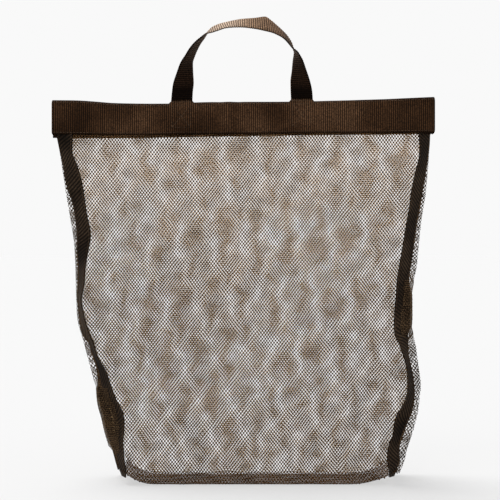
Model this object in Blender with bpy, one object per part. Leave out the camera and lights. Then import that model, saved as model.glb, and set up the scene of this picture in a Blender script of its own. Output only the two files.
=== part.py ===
"""Net bag for cooling bottles: see-through net walls, seam tapes, a webbing rim and two webbing handles.

Metres, +Z up. The front faces -Y, and the origin is the middle of the base, on the floor.
"""

import math

import bmesh
import bpy
from mathutils import Vector

# The bag as it stands, mouth drawn in, base boxed out
RIM_HEIGHT = 0.415
MOUTH_WIDTH = 0.411
MOUTH_DEPTH = 0.050
MOUTH_SHIFT = 0.018
HIP_HEIGHT = 0.105
HIP_WIDTH = 0.350
FOOT_HEIGHT = 0.029
FOOT_WIDTH = 0.310
BASE_WIDTH = 0.296
BASE_DEPTH = 0.096

# The long walls' net, as a coarse grid of diamonds: how many fit across the mouth, their height by width, and the
# net left between them
OPENINGS_ACROSS = 12
OPENING_SLIMNESS = 1.24
NET_BAR_WIDTH = 0.008

# Cloth and webbing
NET_THICKNESS = 0.001
TAPE_WIDTH = 0.018
TAPE_THICKNESS = 0.001
BAND_WIDTH = 0.038
WEBBING_THICKNESS = 0.0016

# Handles: an arch of strap, its sewn ends, and the way it bends and twists
HANDLE_WIDTH = 0.025
HANDLE_SPAN = 0.130
HANDLE_RISE = 0.088
HANDLE_END_LENGTH = 0.028
HANDLE_END_DROP = 0.001
HANDLE_BEND_LENGTH = 0.015
TWIST_START = 0.020
TWIST_LENGTH = 0.085
FRONT_HANDLE_LEAN = math.radians(33)
BACK_HANDLE_LEAN = math.radians(3)
ARCH_SQUARENESS = 2.35
ARCH_STEPS = 32

# Clearances: between layers that touch, and between the walls and the gussets they fold between
LAYER_GAP = 0.0003
SIDE_CLEARANCE = 0.0005

# Where each layer of the rim lies, outward from the net's middle
NET_FACE = NET_THICKNESS / 2
TAPE_LAYER = NET_FACE + LAYER_GAP + TAPE_THICKNESS / 2
TAPE_FACE = TAPE_LAYER + TAPE_THICKNESS / 2
BAND_LAYER = WEBBING_THICKNESS + LAYER_GAP
BAND_FACE = BAND_LAYER + WEBBING_THICKNESS / 2

# The walls stand on the base's long edges and lean in towards the mouth
WALL_FOOT = NET_THICKNESS + LAYER_GAP
WALL_FOOT_DEPTH = BASE_DEPTH / 2 - TAPE_FACE
WALL_RISE = RIM_HEIGHT - WALL_FOOT
WALL_LEAN = math.atan2(WALL_FOOT_DEPTH - MOUTH_DEPTH / 2, WALL_RISE)
WALL_LENGTH = WALL_RISE / math.cos(WALL_LEAN)
RIM_FOOT = RIM_HEIGHT - BAND_WIDTH * math.cos(WALL_LEAN)
GUSSET_TOP_WIDTH = MOUTH_WIDTH - 2 * (LAYER_GAP + WEBBING_THICKNESS)

WIDTH_STATIONS = [
    (0, BASE_WIDTH / 2),
    (FOOT_HEIGHT, FOOT_WIDTH / 2),
    (HIP_HEIGHT, HIP_WIDTH / 2),
    (RIM_HEIGHT, GUSSET_TOP_WIDTH / 2),
]

FACES = {"front": 1, "back": -1}
SIDES = {"left": -1, "right": 1}


def clear_scene():
    for old in list(bpy.data.objects):
        bpy.data.objects.remove(old, do_unlink=True)


def new_collection(name):
    made = bpy.data.collections.new(name)
    bpy.context.scene.collection.children.link(made)
    return made


def finish(name, colour, roughness):
    """A plain cloth finish."""
    made = bpy.data.materials.new(name)
    made.use_nodes = True
    shader = made.node_tree.nodes["Principled BSDF"]
    shader.inputs["Base Color"].default_value = (*colour, 1)
    shader.inputs["Roughness"].default_value = roughness
    shader.inputs["Metallic"].default_value = 0
    return made


def add_empty(name, parts, location, turn, parent=None):
    """An axis for a moving piece: its local X is the hinge line."""
    axis = bpy.data.objects.new(name, None)
    axis.rotation_euler = turn
    axis.location = location
    axis.parent = parent
    parts.objects.link(axis)
    return axis


def add_flat(name, parts, outline, thickness, place, parent, look, openings=()):
    """A flat piece: a filled outline with openings, its thickness shared to both sides of its plane."""
    curve = bpy.data.curves.new(name, "CURVE")
    curve.dimensions = "2D"
    curve.fill_mode = "BOTH"
    curve.extrude = thickness / 2
    for edge in (outline, *openings):
        spline = curve.splines.new("POLY")
        spline.points.add(len(edge) - 1)
        for point, (x, y) in zip(spline.points, edge):
            point.co = (x, y, 0, 1)
        spline.use_cyclic_u = True
    piece = bpy.data.objects.new(name, curve)
    piece.location = place
    piece.parent = parent
    curve.materials.append(look)
    parts.objects.link(piece)
    return piece


def add_loft(name, parts, sections, parent, look):
    """A closed solid through sections of four corners each, capped at both ends."""
    mesh = bpy.data.meshes.new(name)
    shape = bmesh.new()
    rings = [[shape.verts.new(corner) for corner in section] for section in sections]
    for lower, upper in zip(rings, rings[1:]):
        for k in range(len(lower)):
            after = (k + 1) % len(lower)
            shape.faces.new((lower[k], lower[after], upper[after], upper[k]))
    shape.faces.new(rings[0])
    shape.faces.new(rings[-1])
    bmesh.ops.recalc_face_normals(shape, faces=shape.faces)
    shape.to_mesh(mesh)
    shape.free()
    mesh.materials.append(look)
    piece = bpy.data.objects.new(name, mesh)
    piece.parent = parent
    parts.objects.link(piece)
    return piece


def between(stations, height):
    """The value at a height, on straight lines between the stations."""
    for (low, start), (high, end) in zip(stations, stations[1:]):
        if height <= high:
            break
    return start + (end - start) * (height - low) / (high - low)


def half_width(height):
    return between(WIDTH_STATIONS, height)


def middle(height):
    """The bag's middle: the mouth stands a little to the left of the base."""
    return -MOUTH_SHIFT * height / RIM_HEIGHT


def wall_depth(height):
    """How far the net's middle stands from the bag's middle plane."""
    return WALL_FOOT_DEPTH - (height - WALL_FOOT) * math.tan(WALL_LEAN)


def heights(low, high):
    """The stations that an edge needs from low to high."""
    inner = [height for height, _ in WIDTH_STATIONS if low < height < high]
    return [low, *inner, high]


def up_wall(height):
    """A height as a distance up the leaning wall."""
    return (height - WALL_FOOT) / math.cos(WALL_LEAN)


def wall_edge(face, side, height, inset=0.0):
    """A point of a wall's side edge in the wall's own plane."""
    reach = half_width(height) - NET_THICKNESS - SIDE_CLEARANCE - inset
    return face * middle(height) + side * reach, up_wall(height)


def wall_outline(face, low, high):
    """A wall's outline between two heights, from edge to edge."""
    rising = heights(low, high)
    right = [wall_edge(face, 1, height) for height in rising]
    left = [wall_edge(face, -1, height) for height in reversed(rising)]
    return right + left


def wall_openings(face, low, high):
    """Staggered diamonds through a wall's net, between its seam tapes and from low to high."""
    across = MOUTH_WIDTH / OPENINGS_ACROSS / 2
    up = across * OPENING_SLIMNESS
    share = 1 - NET_BAR_WIDTH * math.hypot(across, up) / (2 * across * up)
    inset = TAPE_WIDTH + NET_BAR_WIDTH / 2
    openings = []
    for row in range(1, int(WALL_LENGTH / up) + 1):
        bottom, top = (row - share) * up, (row + share) * up
        if bottom < up_wall(low) + NET_BAR_WIDTH / 2 or top > up_wall(high) - NET_BAR_WIDTH / 2:
            continue
        height = WALL_FOOT + row * up * math.cos(WALL_LEAN)
        left, right = (wall_edge(face, side, height, inset)[0] for side in (-1, 1))
        for column in range(-OPENINGS_ACROSS, OPENINGS_ACROSS + 1):
            x = column * across + face * middle(RIM_HEIGHT / 2)
            reach = share * across
            if (row + column) % 2 == 0 and left < x - reach and x + reach < right:
                openings.append([(x - reach, row * up), (x, bottom), (x + reach, row * up), (x, top)])
    return openings


def tape_outline(face, side, low, high):
    """A strip along one side edge of a wall."""
    rising = heights(low, high)
    outer = [wall_edge(face, side, height) for height in rising]
    inner = [wall_edge(face, side, height, TAPE_WIDTH) for height in reversed(rising)]
    return outer + inner


def strap_end_outline(face, side):
    """The sewn end of one handle leg, down inside the rim."""
    across = face * middle(RIM_HEIGHT) + side * HANDLE_SPAN / 2
    top = WALL_LENGTH - HANDLE_END_DROP
    foot = top - HANDLE_END_LENGTH
    left = across - HANDLE_WIDTH / 2
    right = across + HANDLE_WIDTH / 2
    return [(left, foot), (right, foot), (right, top), (left, top)]


def make_wall(name, parts, looks):
    """One long wall: its net, two seam tapes, the two layers of the rim and the ends of its handle."""
    face = FACES[name]
    turn = (math.pi / 2 - WALL_LEAN, 0, 0 if face > 0 else math.pi)
    hinge = add_empty(f"{name}_wall_axis", parts, (0, -face * WALL_FOOT_DEPTH, WALL_FOOT), turn)
    net_top = RIM_HEIGHT - (HANDLE_END_DROP + HANDLE_END_LENGTH + LAYER_GAP) * math.cos(WALL_LEAN)
    net = wall_outline(face, WALL_FOOT, net_top)
    openings = wall_openings(face, WALL_FOOT, RIM_FOOT)
    add_flat(f"{name}_net", parts, net, NET_THICKNESS, (0, 0, 0), hinge, looks["net"], openings)
    rim = wall_outline(face, RIM_FOOT, RIM_HEIGHT)
    for layer, place in (("band", BAND_LAYER), ("facing", -BAND_LAYER)):
        piece = f"{name}_rim_{layer}"
        add_flat(piece, parts, rim, WEBBING_THICKNESS, (0, 0, place), hinge, looks["webbing"])
    for side_name, side in SIDES.items():
        own_side = face * side
        tape = tape_outline(face, own_side, WALL_FOOT, RIM_FOOT - LAYER_GAP)
        piece = f"{name}_{side_name}_tape"
        add_flat(piece, parts, tape, TAPE_THICKNESS, (0, 0, TAPE_LAYER), hinge, looks["tape"])
        end = strap_end_outline(face, own_side)
        piece = f"{name}_handle_{side_name}_end"
        add_flat(piece, parts, end, WEBBING_THICKNESS, (0, 0, 0), hinge, looks["strap"])
    return hinge


def arch_points():
    """The handle's middle line laid flat: a squarish arch from the left leg's foot to the right one's."""
    power = 2 / ARCH_SQUARENESS
    points = []
    for k in range(ARCH_STEPS + 1):
        angle = math.pi * k / ARCH_STEPS
        across = math.copysign(abs(math.cos(angle)) ** power, -math.cos(angle))
        up = math.sin(angle) ** power if 0 < k < ARCH_STEPS else 0
        points.append(Vector((across * HANDLE_SPAN / 2, up * HANDLE_RISE)))
    return points


def bent(up, lean):
    """Where a distance up the strap lies once it bends out over the rim, and its slope there."""
    radius = HANDLE_BEND_LENGTH / lean
    slope = min(up, HANDLE_BEND_LENGTH) / radius
    straight = max(up - HANDLE_BEND_LENGTH, 0)
    rise = radius * math.sin(slope) + straight * math.cos(slope)
    out = radius * (1 - math.cos(slope)) + straight * math.sin(slope)
    return rise, out, slope


def strap_sections(lean):
    """The handle's cross-sections: flat against the rim at its feet, turned on edge over the arch."""
    points = arch_points()
    run = [0.0]
    for before, after in zip(points, points[1:]):
        run.append(run[-1] + (after - before).length)
    sections = []
    for k, point in enumerate(points):
        ahead = points[min(k + 1, ARCH_STEPS)]
        behind = points[max(k - 1, 0)]
        along = (ahead - behind).normalized()
        from_foot = min(run[k], run[-1] - run[k])
        turned = min(max((from_foot - TWIST_START) / TWIST_LENGTH, 0), 1)
        twist = math.pi / 2 * turned * turned * (3 - 2 * turned)
        rise, out, slope = bent(point.y, lean)
        up_strap = Vector((0, math.cos(slope), math.sin(slope)))
        off_strap = Vector((0, -math.sin(slope), math.cos(slope)))
        tangent = Vector((along.x, 0, 0)) + up_strap * along.y
        inward = Vector((along.y, 0, 0)) - up_strap * along.x
        wide = inward * math.cos(twist) - off_strap * math.sin(twist)
        thick = tangent.cross(wide)
        centre = Vector((point.x, LAYER_GAP + rise, out - BAND_LAYER))
        corners = ((-1, -1), (1, -1), (1, 1), (-1, 1))
        section = []
        for across, through in corners:
            offset = wide * (across * HANDLE_WIDTH / 2) + thick * (through * WEBBING_THICKNESS / 2)
            section.append(centre + offset)
        sections.append(section)
    return sections


def make_handle(name, parts, hinge, lean, look):
    """A strap arch that swings about the rim's top edge."""
    face = FACES[name]
    place = (face * middle(RIM_HEIGHT), WALL_LENGTH, BAND_LAYER)
    axis = add_empty(f"{name}_handle_axis", parts, place, (0, 0, 0), hinge)
    add_loft(f"{name}_handle", parts, strap_sections(lean), axis, look)


def box_section(inner, outer, depth, height):
    """Four corners of a level slice, from inner to outer in X and from front to back."""
    return [(inner, -depth, height), (outer, -depth, height), (outer, depth, height), (inner, depth, height)]


def make_gusset(side_name, parts, looks):
    """One narrow side: its net and the webbing that hems its top."""
    side = SIDES[side_name]
    sections = []
    for height in heights(WALL_FOOT, RIM_HEIGHT):
        outer = middle(height) + side * half_width(height)
        inner = outer - side * NET_THICKNESS
        sections.append(box_section(inner, outer, wall_depth(height) + TAPE_FACE, height))
    add_loft(f"{side_name}_gusset", parts, sections, None, looks["net"])
    sections = []
    for height in (RIM_FOOT, RIM_HEIGHT):
        inner = middle(height) + side * (half_width(height) + LAYER_GAP)
        outer = inner + side * WEBBING_THICKNESS
        sections.append(box_section(inner, outer, wall_depth(height) + BAND_FACE, height))
    add_loft(f"{side_name}_rim_band", parts, sections, None, looks["webbing"])


def make_base(parts, look):
    """The net panel that the bag stands on."""
    x = BASE_WIDTH / 2
    y = BASE_DEPTH / 2
    outline = [(x, -y), (x, y), (-x, y), (-x, -y)]
    add_flat("base_net", parts, outline, NET_THICKNESS, (0, 0, NET_THICKNESS / 2), None, look)


def main():
    clear_scene()
    parts = new_collection("net_cooler_bag")
    looks = {
        "net": finish("net_mesh", (0.10, 0.08, 0.06), 0.7),
        "tape": finish("seam_tape", (0.020, 0.014, 0.010), 0.8),
        "webbing": finish("rim_webbing", (0.038, 0.019, 0.009), 0.8),
        "strap": finish("handle_strap", (0.030, 0.015, 0.008), 0.75),
    }
    make_base(parts, looks["net"])
    for side_name in SIDES:
        make_gusset(side_name, parts, looks)
    leans = {"front": FRONT_HANDLE_LEAN, "back": BACK_HANDLE_LEAN}
    for name, lean in leans.items():
        hinge = make_wall(name, parts, looks)
        make_handle(name, parts, hinge, lean, looks["strap"])


main()
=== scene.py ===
"""Looks of the net bag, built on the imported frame. Metres, +Z up, the front faces -Y.

The net is real thread in a diamond lattice on a slack shell; straps, tapes and rim are ribbed webbing.
Columns and rows are pixels of the 500 x 500 picture that the camera stands for.
"""

import functools
import math

import bpy
import numpy as np
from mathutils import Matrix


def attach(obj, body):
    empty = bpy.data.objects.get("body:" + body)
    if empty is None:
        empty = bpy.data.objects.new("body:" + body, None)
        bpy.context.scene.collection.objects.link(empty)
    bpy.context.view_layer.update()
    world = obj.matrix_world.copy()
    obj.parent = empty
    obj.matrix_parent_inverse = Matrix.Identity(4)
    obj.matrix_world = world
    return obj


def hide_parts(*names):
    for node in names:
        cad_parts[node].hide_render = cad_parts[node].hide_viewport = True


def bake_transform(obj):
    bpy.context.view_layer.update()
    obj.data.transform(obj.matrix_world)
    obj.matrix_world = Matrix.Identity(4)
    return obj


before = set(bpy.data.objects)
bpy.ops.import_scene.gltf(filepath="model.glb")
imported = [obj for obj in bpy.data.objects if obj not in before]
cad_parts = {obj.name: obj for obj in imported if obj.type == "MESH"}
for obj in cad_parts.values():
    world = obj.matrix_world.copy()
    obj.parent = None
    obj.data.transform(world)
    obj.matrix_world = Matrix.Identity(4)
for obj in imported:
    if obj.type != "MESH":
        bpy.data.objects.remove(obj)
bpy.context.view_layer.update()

# Camera
PICTURE = 500
SENSOR_MM = 36
FOCAL = 1620.4
CAMERA = (-0.0108, -1.775, 0.2515)
CLIP_END = 200

# Light: the backdrop's white, the level around the object, what the floor adds for the camera, and each sun's
# direction, strength and angle
BACKDROP = 0.947
AMBIENT = 0.62
FLOOR_COLOUR = 0.30
FLOOR_GLOW = 0.4685
FLOOR_REACH = 60.0
SUNS = {
    "top_light": ((-0.30, 0.30, 1.0), 3.0, 40),
    "front_light": ((-0.55, -1.0, 0.55), 0.7, 60),
}

# The shell: how far the long walls stand from the middle plane, at the base and at the rim
BASE_HALF_DEPTH = 0.0462
RIM_HALF_DEPTH = 0.0269
RIM_TOP = 0.415
BASE_ROUNDING = 0.006
BASE_EDGE_SHARE = 0.6
END_LIFT = 0.016
END_LIFT_START = {"left": 0.112, "right": 0.094}
END_LIFT_MOST = 1.1
END_LIFT_POWER = 2.2
BASE_HALF_WIDTH = 0.149
LOWEST_NET = 0.0009
TAPE_WIDTH = 0.018
BAND_WIDTH = 0.038

# Net: widths and heights of its diamonds, radius of its thread and reach of its knots in each panel, and how
# far it runs in under a seam tape
DIAMOND_WIDTH = 0.00348
DIAMOND_HEIGHT = 0.0043
THREADS = {
    "front": (0.00025, 0.00110), "back": (0.00024, 0.00106), "gusset": (0.00030, 0.00096),
    "base": (0.00041, 0.00050),
}
THREAD_SECTION = [(0.0, 0.40), (1.0, -0.25), (-1.0, -0.25)]
KNOT_RISE = 0.00014
UNDER_TAPE = 0.008
NET_TOP = 0.386
NET_SPLIT = 0.20
GUSSET_FOOT = 0.0105
GUSSET_LEVELS = 360

# How far the flat grid of each net reaches before it is cut: across and up, or across and deep for the base
WALL_REACH = (-0.225, 0.195)
GUSSET_REACH = (0, 0.080)
BASE_REACH = ((-0.15, 0.15), (-0.048, 0.048))
BASE_MARGIN = 0.0002

# How a gusset folds out past its seam tapes: where the fold's tip and its return lie behind the tape's outer
# edge, how far inside that edge the net runs back, the height over which this closes at the rim, and the
# share of the front's fold that the back has
FOLD_NEAR = 0.0010
FOLD_FAR = 0.0030
FOLD_RETURN = 0.0050
FOLD_INSET = 0.0018
FOLD_INSET_LEAST = 0.2
FOLD_CLOSE = 0.050
FOLD_LEAST = 0.0004
BACK_FOLD = 0.10

# How a gusset bulges where it lies over its tapes: shares of the way to the tape, and of the bulge given up
BULGE = [(0.0, 0.0), (0.35, 0.0), (0.65, 0.0), (0.85, 0.0), (0.97, 0.5)]

# How many columns further in than the front tapes' edges the back ones' outer and inner edges lie, and where
# a back tape swings out and shows: its row, spread in rows and columns out for each edge
BACK_TAPE_SHIFT = (2.0, 0.2)
BACK_TAPE_SWING = {"left": (416, 30, (9.0, 7.5)), "right": (306, 22, (1.5, 1.5))}

# How each net is pulled out of its even grid: size, waves per metre across and up, and start of each wave,
# then each wall's share of the pull, and how its grid is stretched across and up
PULLS = [
    (0.00055, 24, 9, 0.0), (0.00045, -15, 27, 2.0), (0.00035, 37, -19, 4.1), (0.00025, 11, 52, 1.1),
]
WALL_PULL = {"front": 0.7, "back": 0.2}
WALL_STRETCH = {"front": (1.0, 1.0), "back": (0.94, 1.01)}
PULL_SKEW = 1.13
BASE_PULL_START = 5.0
WALL_FOOT = 0.0012
THREAD_JITTER = 0.00005
TINY = 1e-6

# Heights between which a gusset's net lies over its tapes
OVER_TAPE = {"left": (0.030, 0.106), "right": (0.156, 0.222)}
OVER_TAPE_FADE = 0.012
OVER_TAPE_RISE = 0.0023
OVER_TAPE_REACH = 0.0105

# Soft folds of the long walls' net, as size, waves across and up in radians per metre, and start. They fade
# in over a height from the base and out over another to a top
FOLDS = [(0.0016, 31, 9, 0.6), (0.0012, 57, -23, 2.1), (0.0009, 95, 41, 4.0), (0.0014, 12, 26, 1.0)]
FOLDS_RISE = 0.05
FOLDS_FADE = 0.06
FOLDS_TOP = 0.375

# Sharper folds of the same net, as start and end (x, z), width and depth
CREASES = [
    ((0.132, 0.110), (0.158, 0.094), 0.0040, -0.0050),
    ((0.106, 0.052), (0.128, 0.036), 0.0045, -0.0045),
    ((-0.140, 0.052), (-0.105, 0.034), 0.0060, 0.0040),
    ((-0.142, 0.075), (-0.128, 0.020), 0.0050, -0.0040),
    ((-0.085, 0.372), (-0.060, 0.290), 0.0090, 0.0030),
    ((0.045, 0.374), (0.030, 0.290), 0.0090, 0.0030),
    ((-0.190, 0.350), (-0.120, 0.230), 0.0120, -0.0035),
    ((0.160, 0.350), (0.105, 0.240), 0.0120, -0.0035),
]

# Outlines as (row, column): the bag's sides, and each seam tape as (row, outer column, inner column)
SIDE_OUTLINES = {
    "left": [
        (100, 53), (134, 54.5), (138, 57.1), (154, 60.2), (171, 62.8), (191, 65.8), (215, 69.8), (241, 73.9),
        (264, 75.4), (300, 76.3), (321, 77.9), (340, 83.1), (363, 89.2), (388, 95.8), (416, 102.4),
        (435, 108.3), (458, 115.5), (471, 119.5), (477, 124),
    ],
    "right": [
        (97, 433.4), (120, 433), (133, 430.4), (146, 429.4), (160, 428.5), (195, 425.4), (220, 421.3),
        (246, 418.7), (269, 416.3), (296, 411.6), (322, 411), (338, 414.5), (356, 417.1), (376, 419.8),
        (385, 420.7), (398, 419.4), (411, 418), (429, 413.6), (450, 406.8), (461, 404.3), (470, 400.7),
        (477, 397),
    ],
}
TAPE_OUTLINES = {
    ("front", "left"): [
        (130, 55.5, 73), (139, 57, 73), (154, 60, 73.5), (166, 62.8, 77.6), (176, 64.3, 80.6),
        (189, 67, 83.7), (200, 71.3, 85.6), (215, 74.5, 87.7), (236, 76, 91), (254, 76.6, 88.2),
        (270, 77.9, 86), (285, 77.5, 85), (292, 77.5, 83.5), (300, 77.9, 82.1), (315, 79.3, 85),
        (325, 80.2, 87.4), (334, 82.5, 91), (342, 88.5, 94.5), (350, 91.2, 96.6), (357, 93.5, 98.9),
        (364, 96, 103), (371, 98, 107), (385, 101, 112), (400, 106, 117.5), (414, 112, 124.3),
        (428, 114, 125.4), (443, 115, 124.3), (450, 115.5, 125), (461, 117, 125.7), (470, 119, 127.5),
        (479, 122, 127),
    ],
    ("front", "right"): [
        (130, 430.5, 417.3), (146, 429.4, 418.6), (158, 428, 418), (176, 425.5, 413.5), (195, 422, 409.7),
        (204, 420.4, 408.8), (222, 417, 405.7), (246, 413.8, 401.7), (264, 411, 398.6), (278, 409, 396.3),
        (298, 409.5, 394.7), (320, 409.5, 393.4), (332, 409, 393.8), (341, 408.5, 397.4), (349, 408.5, 400),
        (356, 408.9, 402.6), (368, 411.4, 405.6), (380, 413.6, 406.4), (393, 414.6, 406.4), (402, 414, 404),
        (412, 412, 399), (419, 409, 394.6), (437, 402, 391.3), (446, 399.7, 388), (458, 400, 386.6),
        (472, 397, 388), (479, 394, 388),
    ],
}
for side, toward in (("left", 1), ("right", -1)):
    middle, spread, swing = BACK_TAPE_SWING[side]
    TAPE_OUTLINES["back", side] = [
        (row, *(edge + toward * (shift - out * math.exp(-((row - middle) / spread) ** 2))
                for edge, shift, out in zip(edges, BACK_TAPE_SHIFT, swing)))
        for row, *edges in TAPE_OUTLINES["front", side]]

# Rim: its top and bottom edges as (column, row). The back one's foot rises above the front's, as (x, rise),
# and its top lies lower but has a share of that rise
FRONT_RIM_TOP = [
    (53, 100.2), (80, 100.6), (112, 103), (165, 103.6), (205, 102.2), (300, 101.6), (370, 99.6), (433, 97),
]
FRONT_RIM_FOOT = [(54.5, 134.6), (120, 135.2), (200, 134.4), (290, 133.6), (360, 133.2), (431, 132.8)]
BACK_RIM_RISE = [(-0.2235, 0.0002), (-0.12, 0.0008), (0.0, 0.0040), (0.1875, 0.0044)]
BACK_RIM_DROP = 0.0035
BACK_RIM_SHARE = 0.6
RIM_ENDS = (-0.2235, 0.1875)

# How the rim waves out of its plane, as middle, width and size of each wave; the share of it that the back
# rim has, and the heights over which the net takes it up
RIM_WAVES = [
    (-0.172, 0.010, 0.0018), (-0.043, 0.0055, -0.0022), (-0.024, 0.005, -0.0024), (-0.034, 0.006, 0.0016),
    (0.070, 0.016, 0.0012), (0.135, 0.020, -0.0016), (-0.115, 0.018, -0.0014),
]
BACK_WAVES = 0.7
RIM_GRIP = (0.335, 0.374)

# Layers of the rim: how far each lies outward of the net, and how far the facing shows below the band. Below
# the
# front band it shows as a dark strip: a painted shadow under the band
RIM_LAYERS = {"band": 0.0021, "facing": -0.0019}
FACING_DROP = {"front": (0.0036, 0.0012), "back": (-0.002, -0.002)}
SIDE_RIM_BULGE = 0.0012
SIDE_RIM_STEPS = 40

# Webbing: half of its section, as (across, out) shares from an edge to the middle, and its ribs, which fade
# out over a share of the width at each edge
STRAP_SECTION = [(1, 0.0), (0.93, 0.72), (0.80, 1.0), (0.4, 1.0), (0.0, 1.0)]
WEBBING_THICKNESS = 0.0016
RIB_PITCH = 0.0023
RIB_STEP = RIB_PITCH / 5
RIB_DEPTH = 0.16
RIB_FADE = 0.03

# Seam tapes: weave, thickness, how far outward of the net they lie, and what they overlap at foot and rim
TAPE_RIB_PITCH = 0.0040
TAPE_STEP = 0.0012
TAPE_THICKNESS = 0.0010
TAPE_LAYER = 0.0012
TAPE_LEVELS = 240
TAPE_BELOW = 0.002
TAPE_ABOVE = 0.004

# The most of a tape's width that can lie across, and the most of a wall's depth that it can run back
TAPE_ACROSS_SHARE = 0.985
TAPE_BACK_SHARE = 0.8

# Handle: its two edges, foot to foot, as (column, row) of the edge outside at the legs and of the other. It
# turns across its width over some stations from each foot, and rounds of a search find its depth
HANDLE_WIDTH = 0.024
HANDLE_STEPS = 400
HANDLE_ROUNDS = 8
HANDLE_FOOT = 1.3
HANDLE_SHRINK = {"front": 1.0, "back": 0.97}
HANDLE_LEAN = {"front": math.radians(30), "back": 0.0}
HANDLE_BEND = 0.018
HANDLE_EDGES = [
    ((171, 101.5), (192.4, 101.5)), ((171.9, 92), (192.9, 92)), ((173.2, 83), (193.8, 82.5)),
    ((176.3, 73.5), (193.3, 73)), ((180.2, 63), (193, 63.5)), ((185.2, 55.2), (195.0, 55.9)),
    ((189.6, 48.2), (197.8, 49.2)), ((194.8, 42.2), (200.9, 43.2)), ((200.4, 37.6), (204.2, 38.4)),
    ((206.4, 33.5), (207.2, 33.1)), ((211.9, 32.4), (210.6, 28.6)), ((217.0, 30.8), (215.6, 25.4)),
    ((226.5, 27.9), (224.0, 22.7)), ((240, 27.3), (239.6, 19.3)), ((254.8, 28.9), (254.5, 17.9)),
    ((266.2, 31.4), (264.6, 16.5)), ((272.4, 32.9), (270.4, 19.8)), ((278.0, 35.2), (276.2, 24.8)),
    ((283.0, 38.0), (281.8, 30.0)), ((287.0, 41.6), (286.6, 35.0)), ((290.4, 45.6), (290.9, 41.6)),
    ((293.3, 48.6), (293.1, 48.2)), ((297.4, 51.5), (294.1, 52.6)), ((300.3, 55.6), (293.5, 56.5)),
    ((303.2, 60.8), (292.6, 61.8)), ((306.6, 70.4), (291.6, 71.6)), ((309.8, 80), (290.4, 81.2)),
    ((312.1, 90), (290.5, 90)), ((313, 101.5), (291, 101.5)),
]
LEGS = (-0.0847, 0.0448)
LIP_RISE = {"front": 0.0032, "back": 0.00192}
LIP_PUSH = 0.0010
LIP_HALF_WIDTH = 0.0135
LIP_SQUARENESS = 6
END_LENGTH = 0.028
END_STEPS = 60

# A handle's colour from foot to foot, as (share of its length, colour): black where it is sewn in, which is a
# painted shade; its own dark brown on the legs; and a crown painted much lighter, most at its left, which is
# a painted highlight of the light from above and from the left
# Black: a painted shade at the handle's feet and over its sewn-in ends
FOOT_PAINTED_SHADE = (0.014, 0.007, 0.004)
LEG_COLOUR = (0.060, 0.030, 0.017)
STRAP_TONE_AND_PAINTED_LIGHT = [
    (0.050, FOOT_PAINTED_SHADE), (0.085, LEG_COLOUR), (0.320, LEG_COLOUR), (0.350, (0.85, 0.64, 0.49)),
    (0.430, (0.97, 0.73, 0.55)), (0.535, (0.61, 0.38, 0.23)), (0.610, (0.47, 0.28, 0.17)),
    (0.650, (0.26, 0.14, 0.08)), (0.690, LEG_COLOUR), (0.915, LEG_COLOUR), (0.950, FOOT_PAINTED_SHADE),
]

# Looks: where each tone lies in the noise, the noises' scales, how ribs, grain and edges shade webbing, as a
# low and a high value and what they give, and how much ribs, threads and grain stand out
ROUGHNESS = 0.7
SHEEN_ROUGHNESS = 0.3
WEBBING_TONES = (0.36, 0.52, 0.68)
WEBBING_GRAIN = 700.0
WARP_PITCH = 0.0011
RIB_SHADE = (-1, 1, 0.08, 1)
GRAIN_SHADE = (0.36, 0.64, 0.35, 1)
# The dark edges also darken the facing's strip below the front band: a painted shadow
EDGE_SHADE = (0.84, 1, 1, 0.3)
GRAIN_ROUGHNESS = (0.3, 0.7, 0.58, 0.82)
BUMPS = (0.3, 0.15, 0.5)
BUMP_STRENGTH = 0.5
BUMP_DISTANCE = 0.0004
THREAD_TONES = (0.38, 0.62)
THREAD_GRAIN = 900.0
THREAD_GLOSS = 0.04
KNOT_SHADE = 0.08
INNER_START = 0.85
INNER_SHADE = 0.75

# Thread of the seams: its stitches, the places of the seams, and the boxes sewn over a handle's ends, whose
# top and foot are shares of the rim's width
STITCH_PITCH = 0.0036
STITCH_LENGTH = 0.0027
STITCH_RADIUS = 0.00028
STITCH_PROFILE = [(-0.5, 0.35), (-0.28, 1.0), (0.28, 1.0), (0.5, 0.35)]
STITCH_SIDES = 5
STITCH_FLATNESS = 0.8
STITCH_AHEAD = 0.0005
TAPE_SEAM = 0.0074
TAPE_SEAM_RISE = 0.0006
RIM_SEAM_SHARE = 0.44
RIM_SEAM_RISE = 0.00105
BOX_HALF_WIDTH = 0.0100
BOX_TOP = 0.34
BOX_FOOT = -0.30
BOX_STEPS = 24

FACES = {"front": -1, "back": 1}
SIDES = {"left": -1, "right": 1}


# Numbers and curves

def seen(column, row, depth):
    """Where a pixel of the picture lies at a depth: x and z."""
    scale = (depth - CAMERA[1]) / FOCAL
    return CAMERA[0] + (column - PICTURE / 2) * scale, CAMERA[2] + (PICTURE / 2 - row) * scale


def smooth(at, knots, values):
    """Values at given places, on a smooth curve through the knots."""
    at, knots, values = (np.asarray(a, float) for a in (at, knots, values))
    steps = np.diff(values) / np.diff(knots)
    slopes = np.concatenate(([steps[0]], (steps[1:] + steps[:-1]) / 2, [steps[-1]]))
    turns = np.concatenate(([False], steps[1:] * steps[:-1] <= 0, [False]))
    slopes[turns] = 0
    at = np.clip(at, knots[0], knots[-1])
    k = np.clip(np.searchsorted(knots, at) - 1, 0, len(knots) - 2)
    span = knots[k + 1] - knots[k]
    t = (at - knots[k]) / span
    return ((1 + 2 * t) * (1 - t) ** 2 * values[k] + t * (1 - t) ** 2 * span * slopes[k]
            + t * t * (3 - 2 * t) * values[k + 1] + t * t * (t - 1) * span * slopes[k + 1])


def unit(vectors):
    return vectors / np.maximum(np.linalg.norm(vectors, axis=-1, keepdims=True), 1e-12)


def bump_at(x, middle, width):
    return np.exp(-((x - middle) / width) ** 2)


# The bag's shell

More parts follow.
